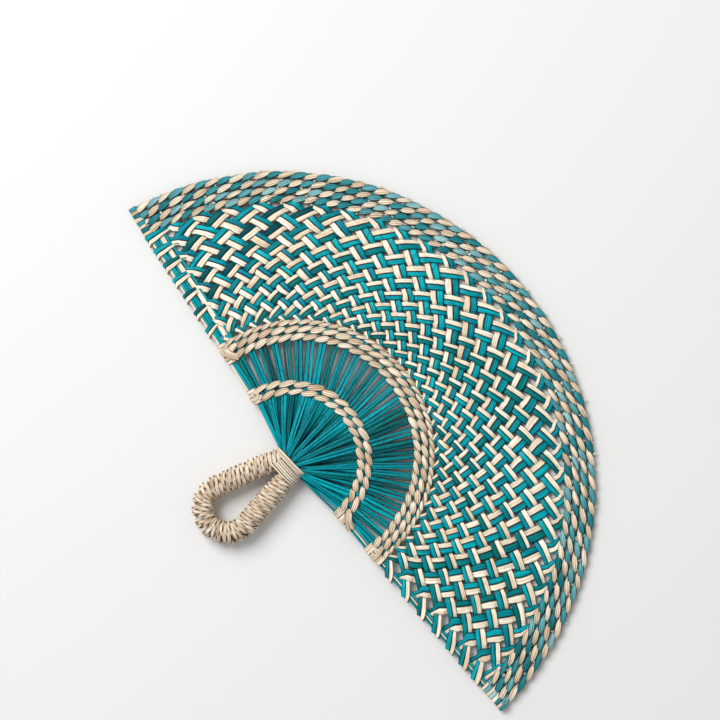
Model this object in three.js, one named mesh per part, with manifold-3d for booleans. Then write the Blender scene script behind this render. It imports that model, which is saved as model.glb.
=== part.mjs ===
// A woven straw fan: a half-moon blade on a wound loop handle, lying on its back, face up.
// Millimetres, +Z up. X runs along the straight edge, the rim is towards +Y, the handle towards -Y.
import * as THREE from 'three';
import { mergeVertices } from 'three/addons/utils/BufferGeometryUtils.js';
import Module from 'manifold-3d';

const wasm = await Module();
wasm.setup();

// Blade outline. Each ring is an arc round a centre that lies behind the hub and to one side of it.
const SPREAD_DEG = 173;
const RIM_RADIUS = 193;
const RIM_BACK = 17.4;
const RIM_SIDE = 3.6;
const MID_RADIUS = 70.6;
const MID_BACK = -4.1;
const MID_SIDE = -5.1;
const RING_RADIUS = 42.2;
const RING_BACK = 3.1;
const RING_SIDE = -5;

// Stems, which leave the hub in layers and come into one plane at the inner ring
const STEM_COUNT = 30;
const STEM_THICK = 1.4;
const STEM_WIDTH = 3.2;
const STEM_GAP = 1.1;
const EDGE_THICK = 1.6;
const EDGE_WIDTH = 3.2;
const EDGE_GAP = 0.5;
const EDGE_MARGIN_DEG = 1.3;

// Woven field: every stem splits into a strip that leans left and one that leans right
const WEAVE_ROWS = 14;
const WEAVE_TWIST_DEG = 9;
const STRIP_THICK = 0.5;
const STRIP_COVER = 0.72;
const STRIP_ROOT = 1;

// Twined rows: each is one strand folded round an edge stem, one half in front, one behind
const RING_ROWS = 2;
const RING_STRAND_WIDTH = 4.4;
const MID_ROWS = 2;
const MID_STRAND_WIDTH = 4.4;
const MID_OUTER_WIDTH = 3;
const BORDER_ROWS = 4;
const BORDER_STRAND_WIDTH = 4.3;
const BORDER_TRIM = 2.6;
const ROW_GAP = 0.5;
const FIELD_GAP = 2;
const STRAND_THICK = 1.5;
const STRAND_FACE = 0.7;
const STRAND_TAIL = 1.2;
const STRAND_STEPS = 19;

// Handle: a bent core with a plug at the neck, a wound cord round the loop, a binding on the neck
const HANDLE_LENGTH = 72;
const HANDLE_SIDE = -5.2;
const HANDLE_LIFT = 0.6;
const LOOP_RADIUS = 14.5;
const LEG_GAP = 0.6;
const CORE_RADIUS = 4.2;
const HUB_RADIUS = 5;
const NECK_LENGTH = 16;
const NECK_HALF_WIDTH = 8;
const WRAP_TURNS = 24;
const WRAP_THICK = 2.4;
const WRAP_GAP = 0.9;
const WRAP_STEPS = 10;
const BINDING_TURNS = 8;
const BINDING_THICK = 1.2;
const BINDING_GAP = 0.5;
const BINDING_STEPS = 12;

// Play between pieces that lie against each other
const CLEAR = 0.3;

const TEAL = 0x0e9497;
const AQUA = 0x67bfb8;
const NATURAL = 0xdcc8a2;
const STRAW = 0xd2b98f;

const UP = new THREE.Vector3(0, 0, 1);
const { degToRad, lerp } = THREE.MathUtils;
const halfSpread = degToRad(SPREAD_DEG / 2);
const stemStep = degToRad(SPREAD_DEG - 2 * EDGE_MARGIN_DEG) / STEM_COUNT;
const edgeStep = degToRad(EDGE_MARGIN_DEG) + stemStep / 2;
const layerPitch = Math.max(STEM_THICK, EDGE_THICK) + CLEAR;
const strandLift = Math.max(STEM_THICK, EDGE_THICK) / 2 + CLEAR + STRAND_THICK / 2;
const stripLayer = (STRIP_THICK + CLEAR) / 2;
const weaveRise = stripLayer / (1 - STRIP_COVER);
const borderHeight = strandLift + STRAND_THICK / 2;
const wrapRadius = (CORE_RADIUS + CLEAR) / Math.cos(Math.PI / WRAP_STEPS) + WRAP_THICK / 2;
const hubHeight = wrapRadius + WRAP_THICK / 2 + HANDLE_LIFT;

// Distance from the hub to a ring, along a stem's angle from the blade's middle line
function ringReach(radius, back, side, angle) {
  const along = Math.sin(angle) * side - Math.cos(angle) * back;
  return along + Math.sqrt(radius ** 2 - back ** 2 - side ** 2 + along ** 2);
}

const rimAt = (angle) => ringReach(RIM_RADIUS, RIM_BACK, RIM_SIDE, angle);
const midAt = (angle) => ringReach(MID_RADIUS, MID_BACK, MID_SIDE, angle);
const ringAt = (angle) => ringReach(RING_RADIUS, RING_BACK, RING_SIDE, angle);
const ringRowAt = (row, angle) => ringAt(angle) + row * (RING_STRAND_WIDTH + ROW_GAP);
const midRowAt = (row, angle) => midAt(angle) + row * (MID_STRAND_WIDTH + ROW_GAP);
const midOuterAt = (angle) =>
  midRowAt(MID_ROWS, angle) - (MID_STRAND_WIDTH - MID_OUTER_WIDTH) / 2;
const borderRowAt = (row, angle) =>
  rimAt(angle) - BORDER_TRIM - BORDER_STRAND_WIDTH / 2 - row * (BORDER_STRAND_WIDTH + ROW_GAP);
const fieldStartAt = (angle) => midOuterAt(angle) + MID_OUTER_WIDTH / 2 + FIELD_GAP;
const fieldEndAt = (angle) =>
  borderRowAt(BORDER_ROWS - 1, angle) - BORDER_STRAND_WIDTH / 2 - FIELD_GAP;

// A point of the blade, which falls gently from the hub to the border and is level there
function bladePoint(angle, reach, lift = 0) {
  const fall = Math.max(0, 1 - reach / fieldEndAt(angle));
  const height = borderHeight + (hubHeight - borderHeight) * fall;
  return new THREE.Vector3(reach * Math.sin(angle), reach * Math.cos(angle), height + lift);
}

const stemAngle = (column) =>
  -halfSpread + degToRad(EDGE_MARGIN_DEG) + (column + 0.5) * stemStep;

// A crossing of the weave: columns are stems, rows run from the mid band out to the border
function crossing(column, row) {
  const out = row / WEAVE_ROWS;
  const twist = degToRad(WEAVE_TWIST_DEG) * Math.sin((Math.PI * (column + 0.5)) / STEM_COUNT);
  const angle = stemAngle(column) + twist * out;
  const reach = fieldStartAt(angle) ** (1 - out) * fieldEndAt(angle) ** out;
  return { angle, reach };
}

// Width of a strip at a crossing: the share of the cell that it may fill, less where cells are skew
function stripWidth(column, row) {
  const at = (dc, dr) => {
    const { angle, reach } = crossing(column + dc, row + dr);
    return bladePoint(angle, reach);
  };
  const right = at(0.5, 1).sub(at(-0.5, -1)).divideScalar(2);
  const left = at(-0.5, 1).sub(at(0.5, -1)).divideScalar(2);
  const skew = right.angleTo(left);
  const cell = Math.min(right.length(), left.length());
  return (STRIP_COVER * cell * Math.sin(skew)) / (1 + Math.abs(Math.cos(skew)));
}

// A closed solid through matching rings of points, capped at both ends, faces out
function loft(rings) {
  const count = rings[0].length;
  const points = rings.flat();
  const index = [];
  for (let r = 0; r + 1 < rings.length; r++) {
    for (let i = 0; i < count; i++) {
      const a = r * count + i;
      const b = r * count + ((i + 1) % count);
      index.push(a, b, b + count, a, b + count, a + count);
    }
  }
  const last = (rings.length - 1) * count;
  for (let i = 1; i + 1 < count; i++) {
    index.push(0, i + 1, i, last, last + i, last + i + 1);
  }
  let volume = 0;
  for (let i = 0; i < index.length; i += 3) {
    const [a, b, c] = [points[index[i]], points[index[i + 1]], points[index[i + 2]]];
    volume += a.dot(new THREE.Vector3().crossVectors(b, c));
  }
  if (volume < 0) {
    index.reverse();
  }
  return new THREE.BufferGeometry().setFromPoints(points).setIndex(index);
}

// A flat band along stations of { point, normal, width }, with its outer face narrowed by taper
function ribbon(stations, thick, taper = 1) {
  const rings = stations.map(({ point, normal, width }, i) => {
    const before = stations[Math.max(0, i - 1)].point;
    const after = stations[Math.min(stations.length - 1, i + 1)].point;
    const along = new THREE.Vector3().subVectors(after, before);
    const side = new THREE.Vector3().crossVectors(normal, along).normalize();
    const corner = (s, n) =>
      point
        .clone()
        .addScaledVector(side, (s * width * (n > 0 ? taper : 1)) / 2)
        .addScaledVector(normal, (n * thick) / 2);
    return [corner(-1, -1), corner(1, -1), corner(1, 1), corner(-1, 1)];
  });
  return loft(rings);
}

function toManifold(geometry) {
  const bare = geometry.clone();
  bare.deleteAttribute('normal');
  bare.deleteAttribute('uv');
  const merged = mergeVertices(bare, 1e-4);
  const mesh = new wasm.Mesh({
    numProp: 3,
    vertProperties: new Float32Array(merged.attributes.position.array),
    triVerts: new Uint32Array(merged.index.array),
  });
  return new wasm.Manifold(mesh);
}

function join(...geometries) {
  const [first, ...rest] = geometries.map(toManifold);
  const mesh = rest.reduce((sum, next) => sum.add(next), first).getMesh();
  const joined = new THREE.BufferGeometry();
  joined.setAttribute('position', new THREE.BufferAttribute(mesh.vertProperties, 3));
  return joined.setIndex(new THREE.BufferAttribute(mesh.triVerts, 1));
}

// Stems

// Where the stems have come into one plane, just inside the inner ring
const planeAt = (angle) => ringAt(angle) - RING_STRAND_WIDTH / 2 - CLEAR;
const stemAngles = Array.from({ length: STEM_COUNT }, (_, column) => stemAngle(column));
const narrowest = Math.min(...stemAngles.map(planeAt));
const stemRootWidth = narrowest * stemStep - STEM_GAP;
const edgeRootWidth =
  2 * (Math.min(planeAt(halfSpread), planeAt(-halfSpread)) * edgeStep - EDGE_GAP) - stemRootWidth;
const stemLayers = Math.ceil((stemRootWidth + CLEAR) / (stemStep * (HUB_RADIUS + CLEAR)));
const hubHalfHeight = (stemLayers * layerPitch) / 2;

function hubLayer(column) {
  const layer = (column + stemLayers) % stemLayers;
  return layer * layerPitch + layerPitch / 2 - hubHalfHeight;
}

// Points of a stem from the hub, in its layer until it is clear of its neighbours, into the plane
function stemRoot(angle, column) {
  const besideEdge = column < 1 || column > STEM_COUNT - 2;
  const clearOfStem = (stemRootWidth + CLEAR) / stemStep;
  const clearOfEdge = ((stemRootWidth + edgeRootWidth) / 2 + CLEAR) / edgeStep;
  const layer = hubLayer(column);
  return [
    bladePoint(angle, HUB_RADIUS + CLEAR, layer),
    bladePoint(angle, besideEdge ? clearOfEdge : clearOfStem, layer),
    bladePoint(angle, planeAt(angle)),
  ];
}

function stemBar(column) {
  const angle = stemAngle(column);
  const points = [...stemRoot(angle, column), bladePoint(angle, fieldStartAt(angle))];
  const stations = points.map((point, i) => {
    const width = i < 3 ? stemRootWidth : STEM_WIDTH;
    return { point, normal: UP, width };
  });
  return ribbon(stations, STEM_THICK);
}

// Half a turn of a strip round the edge stem, from its front to its back or the other way
function edgeTurn(row, heading, face) {
  const angle = heading * halfSpread;
  const column = heading > 0 ? STEM_COUNT - 0.5 : -0.5;
  const { reach } = crossing(column, row);
  const along = new THREE.Vector3(Math.sin(angle), Math.cos(angle), 0);
  const outward = new THREE.Vector3(Math.cos(angle), -Math.sin(angle), 0).multiplyScalar(heading);
  const chord = Math.cos(Math.PI / 8);
  const wide = (EDGE_WIDTH / 2 + CLEAR + STRIP_THICK / 2) / chord;
  const tall = (EDGE_THICK / 2 + CLEAR + STRIP_THICK / 2) / chord;
  const width = stripWidth(column, row);
  return [1, 0.5, 0, -0.5, -1].map((part) => {
    const turn = (part * heading * Math.PI) / 2;
    const radial = outward
      .clone()
      .multiplyScalar(Math.cos(turn))
      .addScaledVector(UP, Math.sin(turn));
    const point = bladePoint(angle, reach)
      .addScaledVector(outward, wide * Math.cos(turn))
      .addScaledVector(UP, tall * Math.sin(turn))
      .addScaledVector(along, (-part * width) / 2);
    return { point, normal: radial.multiplyScalar(face * heading), width };
  });
}

// One strip of the weave, over and under in turn, turned back round an edge stem where it meets one
function weaveStrip(stem, lean) {
  const rootAngle = stemAngle(stem);
  const start = fieldStartAt(rootAngle);
  const stations = [];
  const atEdge = (column) => column === -0.5 || column === STEM_COUNT - 0.5;
  let heading = lean;
  let column = stem;
  let level = atEdge(stem + lean / 2) ? lean : -lean;
  let normal = UP.clone();
  const push = (angle, reach, lift, row) =>
    stations.push({
      point: bladePoint(angle, reach, lift),
      normal: normal.clone(),
      width: stripWidth(column, row),
    });
  push(rootAngle, start - STRIP_ROOT, level * stripLayer, 0);
  for (let row = 1; row < WEAVE_ROWS; row++) {
    column += heading / 2;
    level = row % 2 === 0 ? heading : -heading;
    if (atEdge(column)) {
      stations.push(...edgeTurn(row, heading, normal.z));
      heading = -heading;
      level = heading;
      normal.negate();
    } else {
      const { angle, reach } = crossing(column, row);
      push(angle, reach, level * weaveRise, row);
    }
  }
  const end = crossing(column + heading / 4, WEAVE_ROWS);
  push(end.angle, end.reach, level * stripLayer, WEAVE_ROWS);
  push(end.angle, rimAt(end.angle), level * stripLayer, WEAVE_ROWS);
  return ribbon(stations, STRIP_THICK);
}

const stem = (column) => join(stemBar(column), weaveStrip(column, 1), weaveStrip(column, -1));

// An edge stem, oval in section, runs from the hub to the tip of the blade
function edgeStem(side) {
  const angle = side * halfSpread;
  const points = [
    ...stemRoot(angle, side > 0 ? STEM_COUNT : -1),
    bladePoint(angle, midAt(angle)),
    bladePoint(angle, fieldEndAt(angle)),
    bladePoint(angle, rimAt(angle)),
  ];
  const across = new THREE.Vector3(Math.cos(angle), -Math.sin(angle), 0);
  const rings = points.map((point, i) => {
    const width = i < 3 ? edgeRootWidth : EDGE_WIDTH;
    return Array.from({ length: 8 }, (_, k) => {
      const turn = ((k + 0.5) * Math.PI) / 4;
      return point
        .clone()
        .addScaledVector(across, (Math.cos(turn) * width) / 2)
        .addScaledVector(UP, (Math.sin(turn) * EDGE_THICK) / 2);
    });
  });
  return loft(rings);
}

// A twined row: in front from the left edge to the right, round the edge stem, and back behind
function twinedRow(reachAt, width) {
  const edgeReach = reachAt(halfSpread);
  const tail = (EDGE_WIDTH / 2 + STRAND_TAIL) / reachAt(-halfSpread);
  const half = (lift) =>
    Array.from({ length: STRAND_STEPS + 2 }, (_, i) => {
      const angle = i === 0 ? -halfSpread - tail : lerp(-halfSpread, halfSpread, (i - 1) / STRAND_STEPS);
      const point = bladePoint(angle, reachAt(angle), lift);
      return { point, normal: UP.clone().multiplyScalar(Math.sign(lift)), width };
    });
  const outward = new THREE.Vector3(Math.cos(halfSpread), -Math.sin(halfSpread), 0);
  const chord = Math.cos(Math.PI / 8);
  const wide = (EDGE_WIDTH / 2 + CLEAR + STRAND_THICK / 2) / chord;
  const bend = [0.5, 0, -0.5].map((part) => {
    const turn = (part * Math.PI) / 2;
    const point = bladePoint(halfSpread, edgeReach)
      .addScaledVector(outward, wide * Math.cos(turn))
      .addScaledVector(UP, (strandLift * Math.sin(turn)) / (part === 0 ? 1 : chord));
    const normal = outward
      .clone()
      .multiplyScalar(Math.cos(turn))
      .addScaledVector(UP, Math.sin(turn));
    return { point, normal, width };
  });
  return ribbon([...half(strandLift), ...bend, ...half(-strandLift).reverse()], STRAND_THICK, STRAND_FACE);
}

// Handle

const wrapOuter = wrapRadius + WRAP_THICK / 2;
const legHalfSpacing = wrapOuter + LEG_GAP / 2;
const legHalfWidth = legHalfSpacing + CORE_RADIUS;
const bindingMargin = 3 * CLEAR + BINDING_THICK / 2;

// The binding starts where it is clear of the edge stems
const neckReach = NECK_HALF_WIDTH + bindingMargin + BINDING_THICK / 2 + Math.abs(HANDLE_SIDE);
const neckSlope = Math.max(0, -1 / Math.tan(halfSpread));
const neckFront = edgeRootWidth / 2 + CLEAR + BINDING_THICK / 2 + neckReach * neckSlope;

// Middle line of the loop: a straight leg, a round end and a straight leg back to the neck
class LoopCurve extends THREE.Curve {
  constructor() {
    super();
    this.start = new THREE.Vector2(-legHalfSpacing, -NECK_LENGTH);
    this.centre = new THREE.Vector2(0, LOOP_RADIUS + wrapOuter - HANDLE_LENGTH);
    const away = this.start.distanceTo(this.centre);
    const lead = Math.atan2(legHalfSpacing, this.start.y - this.centre.y);
    this.open = lead + Math.acos(LOOP_RADIUS / away);
    this.leg = Math.sqrt(away ** 2 - LOOP_RADIUS ** 2);
    this.arc = 2 * (Math.PI - this.open) * LOOP_RADIUS;
    this.total = 2 * this.leg + this.arc;
  }

  getPoint(t) {
    const run = t * this.total;
    const left = run <= this.total / 2;
    const far = left ? run : this.total - run;
    const turn = this.open + Math.max(0, far - this.leg) / LOOP_RADIUS;
    const short = Math.max(0, this.leg - far);
    const x = -LOOP_RADIUS * Math.sin(turn) + short * Math.cos(turn);
    const y = this.centre.y + LOOP_RADIUS * Math.cos(turn) + short * Math.sin(turn);
    return new THREE.Vector3(left ? x : -x, y, 0);
  }

  bendAt(t) {
    const run = t * this.total;
    return run > this.leg && run < this.total - this.leg ? 1 / LOOP_RADIUS : 0;
  }
}

const loop = new LoopCurve();

// A point of a rounded flat section across the neck
function neckSection(x, y, halfWidth, halfHeight, turn) {
  const squared = (value) => Math.sign(value) * Math.abs(value) ** 0.75;
  return new THREE.Vector3(
    x + halfWidth * squared(Math.cos(turn)),
    y,
    halfHeight * squared(Math.sin(turn)),
  );
}

// Outline point of the plug, which widens to take both legs, grown by a margin
function plugOutline(y, turn, margin = 0) {
  const halfWidth = lerp(NECK_HALF_WIDTH, legHalfWidth, (-y / NECK_LENGTH) ** 2);
  return neckSection(0, y, halfWidth + margin, hubHalfHeight + margin, turn);
}

function handleCore() {
  const outline = new THREE.Shape().absarc(0, 0, CORE_RADIUS, 0, 2 * Math.PI);
  const legs = new THREE.ExtrudeGeometry(outline, {
    extrudePath: loop,
    steps: 26,
    curveSegments: 10,
    bevelEnabled: false,
  });
  const sides = Array.from({ length: 12 }, (_, k) => (k * Math.PI) / 6);
  const plug = [0, 0.5, 1].map((part) => {
    const y = lerp(-neckFront, -NECK_LENGTH - CLEAR, part);
    return sides.map((turn) => plugOutline(y, turn));
  });
  const hub = [75, 50, 25, 0].map((degrees) => {
    const y = HUB_RADIUS * Math.sin(degToRad(degrees));
    const halfWidth = HUB_RADIUS * Math.cos(degToRad(degrees));
    return sides.map((turn) => neckSection(-HANDLE_SIDE, y, halfWidth, hubHalfHeight, turn));
  });
  const seat = sides.map((turn) =>
    neckSection(-HANDLE_SIDE / 2, -neckFront - CLEAR, HUB_RADIUS, hubHalfHeight - CLEAR, turn),
  );
  return join(loft([...hub, seat]), loft(plug), legs);
}

// A five-sided section with its flat side against what it is wound on
function windingRing(point, outward, along, halfThick, halfWidth) {
  const corners = [
    [-0.8, -1],
    [0.8, -1],
    [1, 0.1],
    [0, 1],
    [-1, 0.1],
  ];
  return corners.map(([across, out]) =>
    point
      .clone()
      .addScaledVector(along, halfWidth * across)
      .addScaledVector(outward, halfThick * out),
  );
}

// Least distance from a winding to its own next turn, measured between the points of its rings
function leastGap(rings, perTurn) {
  let least = Infinity;
  rings.forEach((ring, i) => {
    for (let j = i + perTurn / 2; j < Math.min(rings.length, i + 1.5 * perTurn); j++) {
      ring.forEach((a) => rings[j].forEach((b) => (least = Math.min(least, a.distanceTo(b)))));
    }
  });
  return least;
}

function straightEnds(rings, length) {
  const shifted = (ring, next) => {
    const step = ring[0].clone().sub(next[0]).setLength(length);
    return ring.map((point) => point.clone().add(step));
  };
  const first = shifted(rings[0], rings[1]);
  const last = shifted(rings.at(-1), rings.at(-2));
  return [first, ...rings, last];
}

function handleWrap() {
  const count = WRAP_TURNS * WRAP_STEPS;
  const first = (WRAP_THICK + CLEAR) / loop.total;
  const pitch = ((1 - 2 * first) * loop.total) / WRAP_TURNS;
  const reach = pitch / 2 / loop.total;
  const rings = Array.from({ length: count + 1 }, (_, i) => {
    const t = lerp(first, 1 - first, i / count);
    const turn = (2 * Math.PI * i) / WRAP_STEPS;
    const along = loop.getTangent(t);
    const inward = new THREE.Vector3().crossVectors(UP, along);
    const outward = inward
      .clone()
      .multiplyScalar(Math.cos(turn))
      .addScaledVector(UP, Math.sin(turn));
    const point = loop.getPoint(t).addScaledVector(outward, wrapRadius);
    const bend = Math.max(loop.bendAt(t - reach), loop.bendAt(t + reach));
    const room = pitch * (1 - bend * wrapRadius * Math.max(0, Math.cos(turn)));
    return windingRing(point, outward, along, WRAP_THICK / 2, (room - WRAP_GAP) / 2);
  });
  console.log(`handle_wrap: least gap to itself ${leastGap(rings, WRAP_STEPS).toFixed(2)} mm`);
  return loft(straightEnds(rings, WRAP_THICK));
}

function neckBinding() {
  const count = BINDING_TURNS * BINDING_STEPS;
  const pitch = (NECK_LENGTH - neckFront) / (BINDING_TURNS + 1);
  const rings = Array.from({ length: count + 1 }, (_, i) => {
    const y = -neckFront - (pitch * i) / BINDING_STEPS;
    const turn = (2 * Math.PI * i) / BINDING_STEPS;
    const point = plugOutline(y, turn, bindingMargin);
    const outward = new THREE.Vector3(Math.cos(turn), 0, Math.sin(turn));
    const along = new THREE.Vector3(0, -1, 0);
    return windingRing(point, outward, along, BINDING_THICK / 2, (pitch - BINDING_GAP) / 2);
  });
  console.log(`neck_binding: least gap to itself ${leastGap(rings, BINDING_STEPS).toFixed(2)} mm`);
  return loft(straightEnds(rings, BINDING_THICK));
}

// Assembly

const fan = new THREE.Group();
const handle = new THREE.Group();
handle.position.set(HANDLE_SIDE, 0, hubHeight);
fan.add(handle);

function add(parent, name, geometry, color, roughness) {
  const mesh = new THREE.Mesh(geometry, new THREE.MeshStandardMaterial({ color, roughness, metalness: 0 }));
  mesh.name = name;
  parent.add(mesh);
}

add(handle, 'handle_core', handleCore(), STRAW, 0.85);
add(handle, 'handle_wrap', handleWrap(), STRAW, 0.8);
add(handle, 'neck_binding', neckBinding(), NATURAL, 0.75);

for (let column = 0; column < STEM_COUNT; column++) {
  add(fan, `stem_${String(column + 1).padStart(2, '0')}`, stem(column), TEAL, 0.5);
}
add(fan, 'edge_stem_left', edgeStem(-1), TEAL, 0.5);
add(fan, 'edge_stem_right', edgeStem(1), TEAL, 0.5);

for (let row = 0; row < RING_ROWS; row++) {
  const strand = twinedRow((angle) => ringRowAt(row, angle), RING_STRAND_WIDTH);
  add(fan, `ring_row_${row + 1}`, strand, NATURAL, 0.7);
}
for (let row = 0; row < MID_ROWS; row++) {
  const strand = twinedRow((angle) => midRowAt(row, angle), MID_STRAND_WIDTH);
  add(fan, `mid_row_${row + 1}`, strand, NATURAL, 0.7);
}
add(fan, 'mid_row_outer', twinedRow(midOuterAt, MID_OUTER_WIDTH), NATURAL, 0.7);
for (let row = 0; row < BORDER_ROWS; row++) {
  const strand = twinedRow((angle) => borderRowAt(row, angle), BORDER_STRAND_WIDTH);
  add(fan, `border_row_${row + 1}`, strand, row % 2 === 0 ? AQUA : NATURAL, 0.6);
}

// The origin is the middle of the footprint, on the surface that the fan lies on
fan.updateMatrixWorld(true);
const box = new THREE.Box3().setFromObject(fan, true);
const middle = box.getCenter(new THREE.Vector3());
fan.position.set(-middle.x, -middle.y, -box.min.z);

export default fan;
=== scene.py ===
import math

import bpy
import numpy as np
from mathutils import Matrix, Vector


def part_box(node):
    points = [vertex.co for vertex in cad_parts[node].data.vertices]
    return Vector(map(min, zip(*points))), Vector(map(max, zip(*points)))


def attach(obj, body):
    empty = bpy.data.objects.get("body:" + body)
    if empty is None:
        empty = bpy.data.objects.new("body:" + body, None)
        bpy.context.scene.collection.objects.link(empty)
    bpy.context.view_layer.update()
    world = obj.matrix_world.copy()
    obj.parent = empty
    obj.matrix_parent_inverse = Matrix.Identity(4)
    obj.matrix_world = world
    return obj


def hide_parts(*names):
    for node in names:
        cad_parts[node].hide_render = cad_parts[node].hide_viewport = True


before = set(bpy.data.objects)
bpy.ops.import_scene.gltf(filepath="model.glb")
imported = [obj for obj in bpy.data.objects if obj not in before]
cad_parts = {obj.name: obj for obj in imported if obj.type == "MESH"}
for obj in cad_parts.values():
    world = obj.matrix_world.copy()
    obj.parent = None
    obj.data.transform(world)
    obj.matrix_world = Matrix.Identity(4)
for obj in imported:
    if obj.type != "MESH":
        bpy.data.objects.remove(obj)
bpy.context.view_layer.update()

# Lengths are in mm, with x and y from the hub. MM turns them into the frame's metres.
MM = 0.001
NO_LENGTH = 1e-9
UP = np.array([0.0, 0.0, 1.0])
RANDOM_SEED = 41
rng = np.random.default_rng(RANDOM_SEED)

# Weave: its grid of stems and rows, and how its rows bend outwards by the edges
STEM_COUNT = 30
WEAVE_ROWS = 14
LEFT_EDGE = -0.5
RIGHT_EDGE = STEM_COUNT - 0.5
EDGE_MARGIN = math.radians(1.3)
WEAVE_TWIST = math.radians(9)
EDGE_COLUMNS = 4
EDGE_LEAN = 0.2

# Gap between the weave and the rows on both sides of it, and how far cut ends pass the outermost row
FIELD_GAP = 1.0
TRIM = 1.3

# Twined rows: stitches across the fan
BORDER_STITCHES = 72
MID_STITCHES = STEM_COUNT + 2
RING_STITCHES = STEM_COUNT // 2 + 2
OUTER_STITCHES = 44

# Handle: turns of the cord and of the neck's strand, and the length of the bound neck
WRAP_TURNS = 24
NECK_TURNS = 8
NECK_LENGTH = 11

# Camera: how far the photo turns the fan, the width of its view at the fan, and its middle from the hub
PHOTO_TURN = math.radians(-53.4)
VIEW_WIDTH = 436.3
VIEW_OFFSET = (-29.2, 66.9)
LENS = 85
SENSOR = 36

# Measures taken from the frame

# Percentage of a row's points that its half width takes in
ROW_SHARE = 90


def points_of(node):
    points = np.array([vertex.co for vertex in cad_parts[node].data.vertices])
    return points / MM


def box_of(node):
    return [np.array(corner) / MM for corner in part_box(node)]


def middle_z(node):
    low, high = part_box(node)
    return (low[2] + high[2]) / 2 / MM


def middle_line(node):
    """Middle and direction, in plan, of a long straight piece."""
    plan = points_of(node)[:, :2]
    middle = plan.mean(axis=0)
    return middle, np.linalg.svd(plan - middle, full_matrices=False)[2][0]


left_mid, left_dir = middle_line("edge_stem_left")
right_mid, right_dir = middle_line("edge_stem_right")
to_hub = np.linalg.solve(np.column_stack([left_dir, -right_dir]), right_mid - left_mid)[0]
hub = left_mid + to_hub * left_dir
left_angle = math.atan2(*(left_mid - hub))
right_angle = math.atan2(*(right_mid - hub))
half_spread = (right_angle - left_angle) / 2
stem_step = (2 * half_spread - 2 * EDGE_MARGIN) / STEM_COUNT

hub_z = middle_z("handle_core")
border_z = middle_z("border_row_1")


class Row:
    """A twined CAD row: its middle radius and half width against the angle round the hub."""

    def __init__(self, node):
        points = points_of(node)
        x, y = points[:, 0] - hub[0], points[:, 1] - hub[1]
        angle, radius = np.arctan2(x, y), np.hypot(x, y)
        self.waves = np.linalg.lstsq(self.basis(angle), radius, rcond=None)[0]
        self.half_width = np.percentile(np.abs(radius - self.at(angle)), ROW_SHARE)

    def basis(self, angle):
        angle = np.asarray(angle, float)
        waves = [np.ones_like(angle), np.sin(angle), np.cos(angle), np.sin(2 * angle), np.cos(2 * angle)]
        return np.stack(waves, axis=-1)

    def at(self, angle):
        return self.basis(angle) @ self.waves


rows = {
    name: Row(name)
    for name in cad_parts
    if name.startswith(("ring_row", "mid_row", "border_row"))
}


def rim_at(angle):
    row = rows["border_row_1"]
    return row.at(angle) + row.half_width + TRIM


def field_start(angle):
    row = rows["mid_row_outer"]
    return row.at(angle) + row.half_width + FIELD_GAP


def field_end(angle):
    row = rows["border_row_4"]
    return row.at(angle) - row.half_width - FIELD_GAP


def blade(angle, radius, lift=0.0):
    """A point of the blade's middle surface, which rises from the border to the hub."""
    rise = np.maximum(0, 1 - radius / field_end(angle))
    z = border_z + (hub_z - border_z) * rise + lift
    return np.array([radius * np.sin(angle), radius * np.cos(angle), z])


def outward(angle):
    return np.array([math.sin(angle), math.cos(angle), 0.0])


def sideways(angle):
    return np.array([math.cos(angle), -math.sin(angle), 0.0])


def edge_ways(side):
    """Angle of an edge stem, and the ways out of the blade and along the stem there."""
    angle = side * half_spread
    return angle, side * sideways(angle), outward(angle)


def stem_angle(column):
    return -half_spread + EDGE_MARGIN + (column - LEFT_EDGE) * stem_step


def crossing(column, row):
    """Angle and radius of a point of the weave's grid. Its rows bend outwards at the edges."""
    out = row / WEAVE_ROWS
    bow = math.sin(math.pi * (column - LEFT_EDGE) / STEM_COUNT)
    angle = stem_angle(column) + WEAVE_TWIST * bow * out
    start, end = field_start(angle), field_end(angle)
    inside = start ** (1 - out) * end ** out
    beside = start + (end - start) * (out + EDGE_LEAN * out * (1 - out))
    near = math.exp(-max(0, min(column - LEFT_EDGE, RIGHT_EDGE - column)) / EDGE_COLUMNS)
    return angle, inside + (beside - inside) * near


def unit(vector):
    return vector / np.maximum(np.linalg.norm(vector, axis=-1, keepdims=True), NO_LENGTH)


def smooth(low, high, value):
    part = np.clip((value - low) / (high - low), 0, 1)
    return part * part * (3 - 2 * part)


# Meshes swept along paths

# A straw's groove: its half width, and its height and place across where none are given
GROOVE_HALF = 0.17
GROOVE_HEIGHT = (0.6, 1.0)
GROOVE_PLACE = (-0.3, 0.3)

# Sides of a round section, how steeply the painted shade towards a strand's sides grows, and what counts
# as a sharp edge
ROUND_SIDES = 12
SIDE_SHADE_POWER = 3
SHARP_ANGLE = math.radians(50)

# Share of a turn by which strands change their tint, so that they do it out of sight
TINT_PHASE = 0.25

# Turns and stitches that random draws reach past the ends
SPARE_TURNS = 2
SPARE_BEFORE = 2
SPARE_AFTER = 4


def closed_profile(face):
    """A section with the same points on both faces: across, up, and a mark at each groove, where the
    finish paints shade.
    """
    back = [(x, -y, mark) for x, y, mark in reversed(face)]
    return np.array([(-1, 0, 0), *face, (1, 0, 0), *back])


def straw_profile(groove, place):
    """Section of a flattened straw with a groove along each face."""
    return closed_profile([
        (-0.93, 0.58, 0), (-0.7, 0.96, 0), (place - GROOVE_HALF, 1.0, 0), (place, groove, 1),
        (place + GROOVE_HALF, 1.0, 0), (0.7, 0.96, 0), (0.93, 0.58, 0),
    ])


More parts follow.
